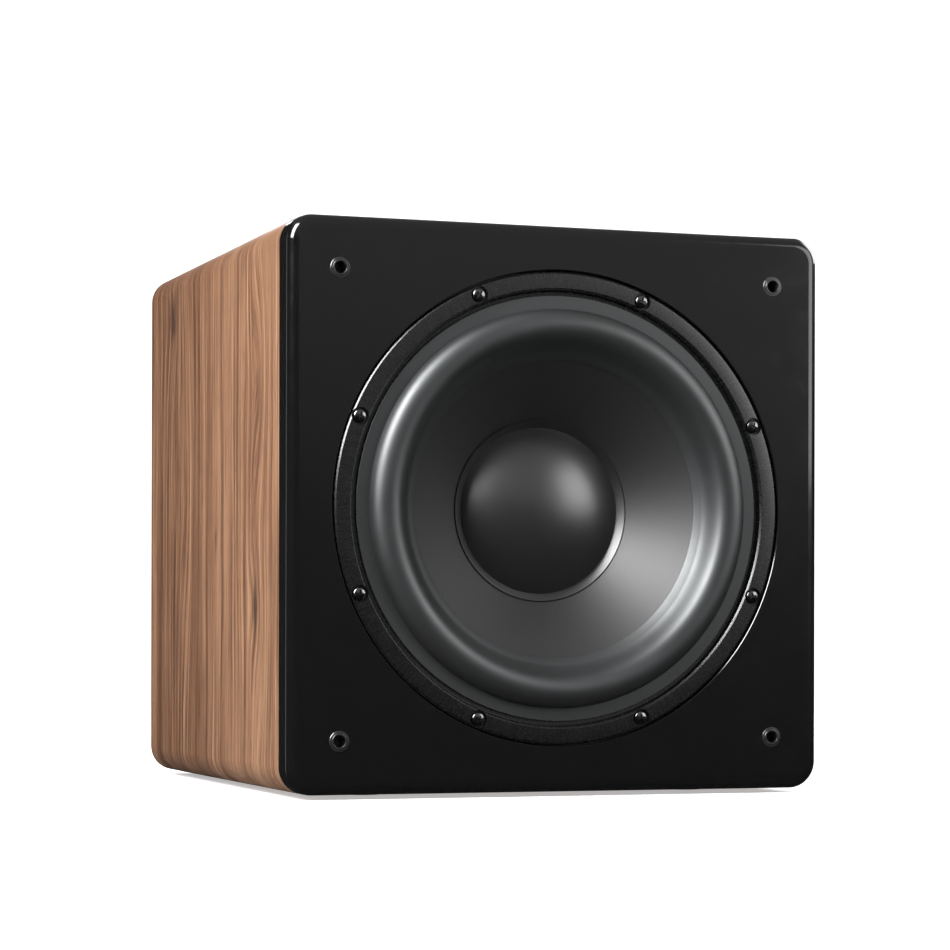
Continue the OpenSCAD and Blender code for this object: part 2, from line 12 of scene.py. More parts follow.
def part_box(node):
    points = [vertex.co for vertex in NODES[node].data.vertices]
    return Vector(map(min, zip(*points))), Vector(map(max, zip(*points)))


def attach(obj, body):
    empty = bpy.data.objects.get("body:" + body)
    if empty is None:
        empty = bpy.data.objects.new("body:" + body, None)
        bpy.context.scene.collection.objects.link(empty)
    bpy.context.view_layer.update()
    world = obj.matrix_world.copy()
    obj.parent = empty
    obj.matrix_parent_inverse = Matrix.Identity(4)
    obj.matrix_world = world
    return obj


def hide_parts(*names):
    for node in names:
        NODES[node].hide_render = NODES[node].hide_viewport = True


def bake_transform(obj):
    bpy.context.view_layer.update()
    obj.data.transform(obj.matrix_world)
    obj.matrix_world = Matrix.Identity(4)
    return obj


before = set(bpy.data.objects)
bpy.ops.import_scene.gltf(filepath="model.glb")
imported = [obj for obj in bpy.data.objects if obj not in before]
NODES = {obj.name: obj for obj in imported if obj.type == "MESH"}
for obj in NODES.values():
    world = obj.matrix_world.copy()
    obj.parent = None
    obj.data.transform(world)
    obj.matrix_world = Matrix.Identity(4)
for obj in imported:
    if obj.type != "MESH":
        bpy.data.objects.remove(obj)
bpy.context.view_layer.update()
MM = 0.001

# ---------- places, from the frame ----------

BAFFLE_LOW, BAFFLE_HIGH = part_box("front_baffle")
FRONT_Y = BAFFLE_LOW.y
BAFFLE_BACK = BAFFLE_HIGH.y
HALF_W = BAFFLE_HIGH.x
HALF_H = (BAFFLE_HIGH.z - BAFFLE_LOW.z) / 2
AXIS_Z = (BAFFLE_HIGH.z + BAFFLE_LOW.z) / 2
BACK_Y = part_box("veneer_wrap")[1].y
PLATE_IN_Y, PLATE_Y = (corner.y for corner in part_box("amp_plate"))
FLANGE_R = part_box("driver_basket")[1].x / MM

# ---------- sizes that the CAD part has too ----------

# Cabinet: its long edges, the baffle's front edges, and the grille sockets
EDGE_R = 18 * MM
FRONT_R = 8 * MM
SOCKET_PITCH = 301 * MM
SOCKET_HOLE_R = 5.6 * MM
SOCKET_HOLE_DEPTH = 14.2 * MM

# Driver, in mm: radius from its axis, and depth back from the cabinet's front plane
RECESS_D = 7.0
SCREW_CIRCLE_R = 148.2
SCREW_COUNT = 8
SCREW_START = 22.5
COUNTERBORE_R = 5.75
COUNTERBORE_D = 2.4
LAND_D = 2.8
ROLL_R = 119.05
ROLL_HALF_W = 11.25
ROLL_HEIGHT = 10
CONE_EDGE_R = 97.8
CONE_EDGE_D = 11.2
CONE_SLOPE = 0.761
CONE_WALL = 1.6
CONE_OUTER_R = 107
CAP_R = 55.2
CAP_HEIGHT = 18.5
CAP_RIM_R = 60.3
FORMER_R = 32.1
SPIDER_D = 65.2
SPIDER_INNER_R = 36
SPIDER_OUTER_R = 66

# Amplifier plate, in mm: places across and up from the driver's axis, seen from the front
GAIN_AT = (-36, 88)
CROSSOVER_AT = (-86, 88)
PHASE_AT = (-36, 48)
MODE_AT = (-86, 48)
JACKS_AT = ((-46, 8), (-76, 8))
INLET_AT = (-61, -88)
INLET_SCREW_OUT = 20
SINK_AT = (58, 42)
SINK_SIZE = (96, 130)
FIN_COUNT = 12
FIXING_PITCH = 118


# ---------- mesh helpers ----------


def link(obj):
    bpy.context.scene.collection.objects.link(obj)
    return obj


def mesh_object(name, vertices, faces, material=None, smooth_angle=35):
    mesh = bpy.data.meshes.new(name)
    mesh.from_pydata([tuple(v) for v in vertices], [], faces)
    obj = link(bpy.data.objects.new(name, mesh))
    tidy_normals(obj, smooth_angle)
    if material:
        mesh.materials.append(material)
    return obj


def tidy_normals(obj, smooth_angle=35):
    """Outward faces, smooth except across edges sharper than the angle."""
    bm = bmesh.new()
    bm.from_mesh(obj.data)
    bmesh.ops.remove_doubles(bm, verts=bm.verts, dist=1e-7)
    bmesh.ops.recalc_face_normals(bm, faces=bm.faces)
    limit = math.radians(smooth_angle)
    for face in bm.faces:
        face.smooth = True
    for edge in bm.edges:
        edge.smooth = len(edge.link_faces) == 2 and edge.calc_face_angle(0) < limit
    bm.to_mesh(obj.data)
    bm.free()


def flat_faces_win(obj):
    """Keeps big flat faces evenly lit beside narrow rounded ones."""
    modifier = obj.modifiers.new("weighted", "WEIGHTED_NORMAL")
    modifier.weight = 100
    modifier.keep_sharp = True


def apply_modifiers(obj):
    graph = bpy.context.evaluated_depsgraph_get()
    mesh = bpy.data.meshes.new_from_object(obj.evaluated_get(graph))
    obj.modifiers.clear()
    obj.data = mesh


def cut(obj, *tools):
    """Takes the tools out of obj, and deletes them."""
    for tool in tools:
        modifier = obj.modifiers.new("cut", "BOOLEAN")
        modifier.operation = "DIFFERENCE"
        modifier.solver = "EXACT"
        modifier.object = tool
    apply_modifiers(obj)
    for tool in tools:
        bpy.data.objects.remove(tool)


def join(name, objects):
    """One object from several, with the materials of all."""
    bm = bmesh.new()
    materials = []
    for obj in objects:
        start = len(bm.faces)
        mesh = obj.data
        mesh.transform(obj.matrix_world)
        bm.from_mesh(mesh)
        bm.faces.ensure_lookup_table()
        for face in bm.faces[start:]:
            material = mesh.materials[face.material_index] if mesh.materials else None
            if material not in materials:
                materials.append(material)
            face.material_index = materials.index(material)
    mesh = bpy.data.meshes.new(name)
    bm.to_mesh(mesh)
    bm.free()
    for material in materials:
        mesh.materials.append(material)
    for obj in objects:
        bpy.data.objects.remove(obj)
    return link(bpy.data.objects.new(name, mesh))


def rounded_profile(corners, steps=5):
    """Outline points from (radius, depth, fillet) corners, with a round arc at each fillet."""
    points = []
    count = len(corners)
    for i, (r, d, fillet) in enumerate(corners):
        here = np.array([r, d], float)
        before = np.array(corners[i - 1][:2], float) - here
        after = np.array(corners[(i + 1) % count][:2], float) - here
        if not fillet:
            points.append((r, d))
            continue
        u, v = before / np.linalg.norm(before), after / np.linalg.norm(after)
        half = math.acos(float(np.clip(u @ v, -1, 1))) / 2
        reach = min(fillet / math.tan(half), 0.48 * min(np.linalg.norm(before), np.linalg.norm(after)))
        radius = reach * math.tan(half)
        centre = here + (u + v) / np.linalg.norm(u + v) * radius / math.sin(half)
        a, b = here + u * reach - centre, here + v * reach - centre
        turn = math.atan2(a[0] * b[1] - a[1] * b[0], a @ b)
        for k in range(steps + 1):
            t = turn * k / steps
            x = a[0] * math.cos(t) - a[1] * math.sin(t)
            y = a[0] * math.sin(t) + a[1] * math.cos(t)
            points.append((centre[0] + x, centre[1] + y))
    return points


def ring_faces(rings, closed=False):
    """Faces between rings of vertex numbers, where a ring may be one vertex repeated."""
    faces = []
    for i in range(len(rings) if closed else len(rings) - 1):
        first, second = rings[i], rings[(i + 1) % len(rings)]
        for k in range(len(first)):
            n = (k + 1) % len(first)
            face = [first[k], first[n], second[n], second[k]]
            face = [v for j, v in enumerate(face) if v != face[j - 1]]
            if len(face) > 2:
                faces.append(face)
    return faces


def lathe(name, outline, material=None, segments=192, closed=True, smooth_angle=35, place=None):
    """Turns (radius, depth) points in mm round an axis: the driver's, or the one that place gives."""
    place = place or driver_place
    vertices, rings = [], []
    for r, d in outline:
        if r < 1e-6:
            rings.append([len(vertices)] * segments)
            vertices.append(place(0, 0, d))
            continue
        rings.append(list(range(len(vertices), len(vertices) + segments)))
        for k in range(segments):
            a = 2 * math.pi * k / segments
            vertices.append(place(r * math.cos(a), r * math.sin(a), d))
    return mesh_object(name, vertices, ring_faces(rings, closed), material, smooth_angle)


def driver_place(x, z, depth):
    """Across, up and back from the centre of the front plane, in mm."""
    return (x * MM, FRONT_Y + depth * MM, AXIS_Z + z * MM)


def rear_place(at, out=0.0):
    """Places a turned piece on the amplifier plate: depth then counts outwards from its outer face, in mm."""

    def place(x, z, d):
        return ((at[0] + x) * MM, PLATE_Y + (out + d) * MM, AXIS_Z + (at[1] + z) * MM)

    return place


def rounded_loop(half_w, half_h, radius, steps):
    """Points (x, z) round a rectangle with round corners, starting at the bottom centre, anticlockwise."""
    points = [(0.0, -half_h)]
    for k, (sx, sz) in enumerate(((1, -1), (1, 1), (-1, 1), (-1, -1))):
        cx, cz = sx * (half_w - radius), sz * (half_h - radius)
        for i in range(steps + 1):
            a = math.radians(-90 + 90 * k + 90 * i / steps)
            points.append((cx + radius * math.cos(a), cz + radius * math.sin(a)))
    return points


def tube_from_loops(loops):
    """Vertices and faces that join closed loops of (x, y, z) points into a skin, capped at both ends."""
    n = len(loops[0])
    vertices = [p for loop in loops for p in loop]
    rings = [range(i * n, (i + 1) * n) for i in range(len(loops))]
    return vertices, ring_faces(rings) + [list(rings[0])[::-1], list(rings[-1])]


def block(name, low, high, material=None, bevel=0.0, segments=3):
    """A box between two corners in metres, with rounded edges."""
    bm = bmesh.new()
    bmesh.ops.create_cube(bm, size=1)
    low, high = Vector(low), Vector(high)
    for v in bm.verts:
        v.co = Vector((low[i] + (v.co[i] + 0.5) * (high[i] - low[i]) for i in range(3)))
    if bevel:
        bmesh.ops.bevel(bm, geom=list(bm.edges), offset=bevel, segments=segments, affect="EDGES", profile=0.5)
    mesh = bpy.data.meshes.new(name)
    bm.to_mesh(mesh)
    bm.free()
    obj = link(bpy.data.objects.new(name, mesh))
    tidy_normals(obj, 60 if bevel else 30)
    if bevel:
        flat_faces_win(obj)
    if material:
        mesh.materials.append(material)
    return obj


def cylinder_tool(x, z, y0, y1, radius, segments=64):
    """A plain round cutter along Y."""
    rings = []
    for y in (y0, y1):
        rings.append([
            (x + radius * math.cos(2 * math.pi * k / segments), y, z + radius * math.sin(2 * math.pi * k / segments))
            for k in range(segments)
        ])
    return mesh_object("tool", *tube_from_loops(rings))


# ---------- material helpers ----------


class Material:
    """A Principled material with short calls for adding nodes."""

    def __init__(self, name, colour, roughness, **inputs):
        self.material = bpy.data.materials.new(name)
        self.material.use_nodes = True
        self.tree = self.material.node_tree
        self.shader = self.tree.nodes["Principled BSDF"]
        self.shader.inputs["Base Color"].default_value = (*colour, 1)
        self.shader.inputs["Roughness"].default_value = roughness
        for key, value in inputs.items():
            self.shader.inputs[key.replace("_", " ")].default_value = value

    def node(self, kind, inputs=None, **properties):
        made = self.tree.nodes.new("ShaderNode" + kind)
        for key, value in properties.items():
            setattr(made, key, value)
        for key, value in (inputs or {}).items():
            self.feed(made, key, value)
        return made

    def feed(self, node, key, value):
        """Sets an input to a value, or links it to a socket or to a node's first output."""
        socket = node.inputs[key]
        if isinstance(value, bpy.types.Node):
            value = value.outputs[0]
        if isinstance(value, bpy.types.NodeSocket):
            self.tree.links.new(value, socket)
        else:
            socket.default_value = value

    def coords(self):
        return self.node("TexCoord").outputs["Object"]

    def noise(self, vector, scale, detail=3.0, roughness=0.5, distortion=0.0):
        return self.node("TexNoise", {"Vector": vector, "Scale": scale, "Detail": detail,
                                      "Roughness": roughness, "Distortion": distortion})

    def remap(self, value, low, high, new_low, new_high):
        return self.node("MapRange", {"Value": value, "From Min": low, "From Max": high,
                                      "To Min": new_low, "To Max": new_high})

    def math(self, operation, a, b=0.0):
        return self.node("Math", {0: a, 1: b}, operation=operation)

    def ramp(self, value, stops):
        made = self.node("ValToRGB", {"Fac": value})
        elements = made.color_ramp.elements
        while len(elements) < len(stops):
            elements.new(0.5)
        for element, (position, colour) in zip(elements, stops):
            element.position = position
            element.color = (*colour, 1)
        return made

    def mix(self, factor, a, b):
        made = self.node("Mix", data_type="RGBA")
        for key, value in ((0, factor), (6, a), (7, b)):
            if isinstance(value, tuple) and len(value) == 3:
                value = (*value, 1)
            self.feed(made, key, value)
        return made.outputs[2]

    def bump(self, height, strength, distance):
        return self.node("Bump", {"Height": height, "Strength": strength, "Distance": distance})

    def shade(self, key, value):
        self.feed(self.shader, key, value)


# ---------- materials ----------

# Knots in the veneer, in metres: place across and along the grain, half width and length, pull on the layers; and
# how dark the core is
KNOTS = (
    (0.115, 0.940, 0.026, 0.045, 0.014, 0.95),
    (-0.118, 1.158, 0.014, 0.040, 0.010, 1.0),
    (-0.134, 1.000, 0.022, 0.085, 0.024, 0.0),
    (-0.138, 1.175, 0.014, 0.075, 0.012, 0.0),
    (0.066, 1.060, 0.028, 0.150, 0.020, 0.0),
    (-0.014, 1.110, 0.006, 0.022, 0.003, 0.6),
    (-0.060, 0.760, 0.018, 0.050, 0.014, 0.95),
    (0.090, 0.640, 0.032, 0.130, 0.024, 0.0),
    (0.100, 0.330, 0.016, 0.045, 0.014, 1.0),
    (-0.050, 0.430, 0.030, 0.140, 0.024, 0.0),
)


def wood_veneer():
    """Light walnut veneer: layers bent by slow waves and knots, cut flat, with painted shade that darkens it towards
    the back. The grain layer holds metres:
    U is the way back, V the way round the cabinet, which the grain follows."""
    m = Material("wood_veneer", (0.5, 0.3, 0.18), 0.45, Coat_Weight=0.12, Coat_Roughness=0.3)
    grain = m.node("UVMap", uv_map="grain").outputs[0]
    split = m.node("SeparateXYZ", {0: grain})
    across, along = split.outputs[0], split.outputs[1]

    def stretched(u, u_scale, v_scale, layer, detail=3.0, roughness=0.55):
        u = m.math("MULTIPLY", u, u_scale)
        v = m.math("MULTIPLY", along, v_scale)
        place = m.node("CombineXYZ", {0: u, 1: v, 2: layer})
        return m.noise(place, 1.0, detail, roughness)

    slow = stretched(across, 9, 3.2, 0, 2.0)
    layers = m.math("ADD", across, m.math("MULTIPLY", m.math("SUBTRACT", slow, 0.5), 0.02))
    cores = None
    for u, v, wide, long, lift, dark in KNOTS:
        offset = m.node("VectorMath", {0: grain, 1: (u, v, 0)}, operation="SUBTRACT")
        scaled = m.node("VectorMath", {0: offset, 1: (1 / wide, 1 / long, 0)}, operation="MULTIPLY")
        square = m.node("VectorMath", {0: scaled, 1: scaled}, operation="DOT_PRODUCT").outputs["Value"]
        hump = m.math("EXPONENT", m.math("MULTIPLY", square, -1.0))
        layers = m.math("ADD", layers, m.math("MULTIPLY", hump, lift))
        core = m.math("MULTIPLY", m.math("EXPONENT", m.math("MULTIPLY", square, -6.0)), dark)
        cores = core if cores is None else m.math("MAXIMUM", cores, core)

    broad = stretched(layers, 28, 1.1, 3, 2.0)
    bands = stretched(layers, 90, 1.2, 5, 3.0, 0.6)
    lines = stretched(layers, 240, 2.2, 8, 4.0, 0.75)
    fibres = stretched(layers, 850, 10.0, 11, 3.0, 0.65)
    tone = m.math("MULTIPLY", broad, 0.25)
    for part, weight in ((bands, 0.17), (lines, 0.75), (fibres, 0.45)):
        tone = m.math("ADD", tone, m.math("MULTIPLY", part, weight))
    # Painted shade: the tone darkens towards the back of the cabinet, with a slow wave in where it deepens.
    shade = m.math("ADD", across, m.math("MULTIPLY", slow, 0.12))
    tone = m.math("SUBTRACT", tone, m.remap(shade, -0.08, 0.2, -0.02, 0.06))
    colour = m.ramp(tone, [
        (0.64, (0.037, 0.013, 0.005)), (0.73, (0.082, 0.036, 0.017)), (0.82, (0.140, 0.069, 0.036)),
        (0.93, (0.226, 0.125, 0.070))])
    pores = m.remap(stretched(layers, 1700, 45.0, 14, 1.0), 0.6, 0.7, 0.0, 0.6)
    colour = m.mix(pores, colour, (0.045, 0.02, 0.012))
    flecks = m.remap(stretched(layers, 800, 130.0, 21, 1.0), 0.7, 0.77, 0.0, 0.7)
    colour = m.mix(flecks, colour, (0.03, 0.013, 0.007))
    mottle = m.remap(stretched(layers, 600, 90.0, 17, 3.0, 0.7), 0.38, 0.62, 0.55, 1.3)
    colour = m.mix(m.math("MULTIPLY", cores, mottle), colour, (0.025, 0.012, 0.008))
    m.shade("Base Color", colour)
    m.shade("Roughness", m.remap(lines, 0.3, 0.7, 0.5, 0.4))
    m.shade("Normal", m.bump(m.math("SUBTRACT", lines, pores), 0.18, 0.0003))
    return m.material


def gloss_black():
    """Thick black lacquer with a faint wave and haze."""
    m = Material("gloss_black", (0.0025, 0.0025, 0.0027), 0.12)
    at = m.coords()
    wave = m.noise(at, 14, 2)
    m.shade("Normal", m.bump(wave, 0.03, 0.0008))
    haze = m.noise(at, 60, 4, 0.6)
    m.shade("Roughness", m.remap(haze, 0.3, 0.7, 0.1, 0.16))
    return m.material


def flange_metal():
    """Black paint over metal turned in fine rings."""
    m = Material("flange_metal", (0.006, 0.006, 0.0064), 0.27, Specular_IOR_Level=0.7)
    at = m.coords()
    split = m.node("SeparateXYZ", {0: at})
    x, up = split.outputs[0], m.math("SUBTRACT", split.outputs[2], AXIS_Z)
    radius = m.math("SQRT", m.math("ADD", m.math("MULTIPLY", x, x), m.math("MULTIPLY", up, up)))
    angle = m.math("ARCTAN2", up, x)
    rings = m.noise(m.node("CombineXYZ", {0: m.math("MULTIPLY", radius, 3500)}), 1, 3)
    polar = m.node("CombineXYZ", {0: m.math("MULTIPLY", angle, 90.0), 1: m.math("MULTIPLY", radius, 60.0)})
    strokes = m.remap(m.noise(polar, 1, 3, 0.7), 0.35, 0.65, 0.0, 1.0)
    grain = m.noise(at, 900, 3, 0.6)
    height = m.math("ADD", rings, m.math("MULTIPLY", grain, 0.6))
    m.shade("Base Color", m.mix(strokes, (0.001, 0.001, 0.001), (0.0038, 0.0038, 0.004)))
    m.shade("Normal", m.bump(height, 0.02, 0.0002))
    m.shade("Roughness", m.remap(grain, 0.3, 0.7, 0.24, 0.32))
    return m.material


def surround_rubber():
    """Matt rubber with a slightly cloudy sheen."""
    m = Material("surround_rubber", (0.005, 0.005, 0.0053), 0.46, Specular_IOR_Level=1.0,
                 Specular_Tint=(0.96, 0.99, 1.0, 1))
    at = m.coords()
    grain = m.noise(at, 1100, 3, 0.6)
    m.shade("Normal", m.bump(grain, 0.05, 0.0002))
    cloud = m.noise(at, 25, 4, 0.6)
    m.shade("Roughness", m.remap(cloud, 0.3, 0.7, 0.43, 0.5))
    return m.material


def cone_pulp():
    """Black pressed pulp with a fine fibre."""
    m = Material("cone_pulp", (0.005, 0.005, 0.005), 0.48, Specular_IOR_Level=0.75)
    at = m.coords()
    fibre = m.noise(at, 800, 5, 0.65, 0.4)
    m.shade("Normal", m.bump(fibre, 0.05, 0.0002))
    m.shade("Roughness", m.remap(fibre, 0.3, 0.7, 0.44, 0.52))
    return m.material


def cap_skin():
    """Smooth satin skin of the dust cap."""
    m = Material("cap_skin", (0.005, 0.005, 0.0053), 0.36, Specular_IOR_Level=1.0,
                 Coat_Weight=0.5, Coat_Roughness=0.36)
    at = m.coords()
    cloud = m.noise(at, 30, 4, 0.6)
    m.shade("Roughness", m.remap(cloud, 0.3, 0.7, 0.34, 0.38))
    return m.material


def screw_metal():
    """Polished black-plated steel with faint marks."""
    m = Material("screw_metal", (0.15, 0.15, 0.155), 0.2, Metallic=1.0)
    at = m.coords()
    marks = m.noise(at, 400, 3, 0.6)
    m.shade("Roughness", m.remap(marks, 0.3, 0.7, 0.16, 0.26))
    return m.material


def plain_black(name, colour, roughness, grain_scale, grain_strength, **inputs):
    """Moulded or painted black with a fine grain."""
    m = Material(name, colour, roughness, **inputs)
    at = m.coords()
    grain = m.noise(at, grain_scale, 4, 0.6)
    m.shade("Normal", m.bump(grain, grain_strength, 0.0003))
    m.shade("Roughness", m.remap(grain, 0.3, 0.7, roughness - 0.05, roughness + 0.07))
    return m.material


def bare_metal(name, colour, roughness, **inputs):
    """Bare or plated metal with faint marks."""
    m = Material(name, colour, roughness, Metallic=1.0, **inputs)
    at = m.coords()
    marks = m.noise(at, 260, 4, 0.6, 0.3)
    cloud = m.noise(at, 35, 3)
    m.shade("Roughness", m.remap(marks, 0.3, 0.7, roughness - 0.06, roughness + 0.1))
    low = tuple(c * 0.85 for c in colour)
    m.shade("Base Color", m.mix(cloud, low, colour))
    m.shade("Normal", m.bump(marks, 0.05, 0.0002))
    return m.material


def plastic(name, colour, roughness, **inputs):
    """Moulded plastic with a fine texture and slightly uneven colour."""
    m = Material(name, colour, roughness, **inputs)
    at = m.coords()
    grain = m.noise(at, 1100, 3, 0.6)
    cloud = m.noise(at, 30, 3)
    low = tuple(c * 0.8 for c in colour)
    m.shade("Base Color", m.mix(cloud, low, colour))
    m.shade("Roughness", m.remap(grain, 0.3, 0.7, roughness - 0.05, roughness + 0.08))
    m.shade("Normal", m.bump(grain, 0.1, 0.0002))
    return m.material


def fibreboard():
    """Pressed wood fibre, painted black on the rear edges."""
    m = Material("fibreboard", (0.33, 0.22, 0.13), 0.85)
    at = m.coords()
    fibre = m.noise(at, 900, 5, 0.7)
    cloud = m.noise(at, 22, 3)
    raw = m.mix(fibre, (0.22, 0.14, 0.08), (0.42, 0.29, 0.18))
    raw = m.mix(m.remap(cloud, 0.3, 0.7, 0.0, 0.3), raw, (0.27, 0.18, 0.11))
    rear = m.node("SeparateXYZ", {0: at}).outputs[1]
    painted = m.math("GREATER_THAN", rear, BACK_Y - 0.0005)
    m.shade("Base Color", m.mix(painted, raw, (0.012, 0.012, 0.012)))
    m.shade("Roughness", m.remap(painted, 0.0, 1.0, 0.85, 0.6))
    m.shade("Normal", m.bump(fibre, 0.3, 0.0004))
    return m.material


def powder_coat():
    """Black plate with a fine hammered powder coat."""
    m = Material("powder_coat", (0.014, 0.014, 0.0145), 0.42)
    at = m.coords()
    peel = m.noise(at, 480, 3, 0.5)
    cloud = m.noise(at, 12, 3)
    m.shade("Normal", m.bump(peel, 0.3, 0.0004))
    m.shade("Roughness", m.remap(cloud, 0.3, 0.7, 0.38, 0.48))
    return m.material


def woven(name, colour, dark, scale):
    """Cloth of crossing threads."""
    m = Material(name, colour, 0.9)
    at = m.coords()
    split = m.node("SeparateXYZ", {0: at})
    warp = m.math("SINE", m.math("MULTIPLY", split.outputs[0], scale))
    weft = m.math("SINE", m.math("MULTIPLY", split.outputs[2], scale))
    cross = m.math("MULTIPLY", warp, weft)
    fuzz = m.noise(at, 500, 3)
    height = m.math("ADD", cross, fuzz)
    m.shade("Base Color", m.mix(m.remap(height, -0.5, 1.5, 0.0, 1.0), dark, colour))
    m.shade("Normal", m.bump(height, 0.4, 0.0004))
    return m.material


def fibre_wadding():
    """Loose white fibre."""
    m = Material("fibre_wadding", (0.8, 0.8, 0.77), 0.95, Sheen_Weight=0.4)
    at = m.coords()
    hair = m.noise(at, 180, 6, 0.75, 1.5)
    m.shade("Base Color", m.mix(hair, (0.55, 0.55, 0.52), (0.9, 0.9, 0.87)))
    m.shade("Normal", m.bump(hair, 0.8, 0.003))
    return m.material


def circuit_board():
    """Green lacquer with paler tracks."""
    m = Material("circuit_board", (0.02, 0.14, 0.06), 0.35)
    at = m.coords()
    cells = m.node("TexBrick", {"Vector": at, "Scale": 160.0, "Mortar Size": 0.03})
    cloud = m.noise(at, 60, 3)
    base = m.mix(cloud, (0.012, 0.11, 0.045), (0.02, 0.16, 0.07))
    m.shade("Base Color", m.mix(cells.outputs["Fac"], base, (0.05, 0.26, 0.12)))
    m.shade("Normal", m.bump(cells.outputs["Fac"], 0.2, 0.0002))
    return m.material


WOOD = wood_veneer()
GLOSS = gloss_black()
FLANGE = flange_metal()
RUBBER = surround_rubber()
PULP = cone_pulp()
CAP = cap_skin()
SCREW = screw_metal()
FIBREBOARD = fibreboard()
COAT = powder_coat()
ZINC = bare_metal("zinc_plate", (0.62, 0.62, 0.6), 0.3)
STEEL = bare_metal("plated_steel", (0.42, 0.42, 0.44), 0.35)
NICKEL = bare_metal("nickel_plate", (0.74, 0.71, 0.64), 0.18)
GOLD = bare_metal("gold_plate", (0.83, 0.6, 0.27), 0.2)
COPPER = bare_metal("enamelled_copper", (0.72, 0.32, 0.15), 0.3)
FOIL = bare_metal("former_foil", (0.78, 0.74, 0.6), 0.3)
BLACK_ZINC = bare_metal("black_zinc", (0.11, 0.11, 0.115), 0.34)
FERRITE = plastic("ferrite", (0.05, 0.05, 0.055), 0.55)
BLACK_PLASTIC = plastic("black_plastic", (0.016, 0.016, 0.0165), 0.38)
ANODISED = plastic("black_anodised", (0.022, 0.022, 0.024), 0.4)
DARK_RUBBER = plastic("foot_rubber", (0.014, 0.014, 0.014), 0.7)
FOAM = plastic("gasket_foam", (0.02, 0.02, 0.02), 0.9)
WHITE_PLASTIC = plastic("white_plastic", (0.75, 0.75, 0.72), 0.35)
RED_PLASTIC = plastic("red_plastic", (0.5, 0.02, 0.02), 0.35)
BROWN_BOARD = plastic("terminal_board", (0.2, 0.09, 0.04), 0.6)
YELLOW_TAPE = plastic("winding_tape", (0.75, 0.55, 0.1), 0.35)
BLUE_SLEEVE = plastic("capacitor_sleeve", (0.02, 0.03, 0.12), 0.3)
PRINT = plastic("plate_print", (0.6, 0.6, 0.58), 0.5)
LENS = plastic("lamp_lens", (0.35, 0.5, 0.75), 0.12, Transmission_Weight=0.3)
BOARD = circuit_board()
WADDING = fibre_wadding()
SPIDER_CLOTH = woven("spider_cloth", (0.62, 0.46, 0.2), (0.35, 0.24, 0.1), 2600)
BRAID = woven("copper_braid", (0.7, 0.4, 0.22), (0.3, 0.15, 0.08), 6000)
SOCKET = plain_black("socket_rubber", (0.006, 0.006, 0.0063), 0.3, 800, 0.04, Specular_IOR_Level=0.8)
PAINT = plain_black("black_paint", (0.018, 0.018, 0.018), 0.55, 350, 0.25)


# ---------- cabinet ----------


def make_veneer():
    """The wrapped veneer, with the grain running round the cabinet and slightly eased rear edges."""
    steps = 16
    outer = rounded_loop(HALF_W, HALF_H, EDGE_R, steps)
    skin = 0.6 * MM
    inner = rounded_loop(HALF_W - skin, HALF_H - skin, EDGE_R - skin, steps)
    ease = 0.3 * MM
    rows = [(outer, BAFFLE_BACK), (outer, BACK_Y - ease)]
    half_in = rounded_loop(HALF_W - ease, HALF_H - ease, EDGE_R - ease, steps)
    rows += [(half_in, BACK_Y), (inner, BACK_Y), (inner, BAFFLE_BACK)]
    n = len(outer)
    vertices = [(x, y, z + AXIS_Z) for loop, y in rows for x, z in loop]
    rings = [range(i * n, (i + 1) * n) for i in range(len(rows))]
    obj = mesh_object("veneer", vertices, ring_faces(rings, closed=True), WOOD, 40)
    total = sum(math.dist(a, b) for a, b in zip(outer, outer[1:] + outer[:1]))
    layer = obj.data.uv_layers.new(name="grain")
    for polygon in obj.data.polygons:
        corners = []
        for loop_index in polygon.loop_indices:
            co = obj.data.vertices[obj.data.loops[loop_index].vertex_index].co
            corners.append((loop_index, co, perimeter(co.x, co.z - AXIS_Z, total)))
        wraps = max(c[2] for c in corners) - min(c[2] for c in corners) > total / 2
        for loop_index, co, s in corners:
            layer.data[loop_index].uv = (co.y, s + total if wraps and s < total / 2 else s)
    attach(obj, "cabinet")
    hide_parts("veneer_wrap")
    flat_faces_win(obj)


def perimeter(x, z, total):
    """How far round the cabinet a point lies, from the bottom centre, anticlockwise seen from the front."""
    straight_w, straight_h, tiny = HALF_W - EDGE_R, HALF_H - EDGE_R, 1e-9
    past_x, past_z = abs(x) - straight_w, abs(z) - straight_h
    if past_z < -tiny:
        s = straight_w + math.pi / 2 * EDGE_R + straight_h + z
    else:
        s = straight_w + math.atan2(past_x, past_z) * EDGE_R if past_x > tiny and past_z > tiny else abs(x)
        s = s if z < 0 else total / 2 - s
    return s if x >= 0 else total - s


def make_baffle():
    """Gloss front with rounded corners, rounded front edges, a round recess and four socket holes."""
    steps = 14
    rows = []
    for k in range(steps + 1):
        a = math.pi / 2 * k / steps
        rows.append((FRONT_R * (1 - math.sin(a)), FRONT_Y + FRONT_R * (1 - math.cos(a))))
    rows.append((0, BAFFLE_BACK))
    loops = [
        [(x, y, z + AXIS_Z) for x, z in rounded_loop(HALF_W - inset, HALF_H - inset, EDGE_R - inset, 16)]
        for inset, y in rows
    ]
    obj = mesh_object("baffle", *tube_from_loops(loops), GLOSS, 50)
    recess = lathe("tool", rounded_profile([
        (0, -3, 0), (170, -3, 0), (FLANGE_R + 1.5, -0.02, 0.2), (FLANGE_R + 1, 0.5, 0.5),
        (FLANGE_R + 1, RECESS_D, 0), (141, RECESS_D, 0), (141, 25, 0), (0, 25, 0)]), segments=256, smooth_angle=30)
    holes = [
        cylinder_tool(x * SOCKET_PITCH / 2, AXIS_Z + z * SOCKET_PITCH / 2,
                      FRONT_Y - 10 * MM, FRONT_Y + SOCKET_HOLE_DEPTH, SOCKET_HOLE_R)
        for x in (-1, 1) for z in (-1, 1)
    ]
    cut(obj, recess, *holes)
    tidy_normals(obj, 40)
    flat_faces_win(obj)
    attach(obj, "cabinet")
    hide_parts("front_baffle")


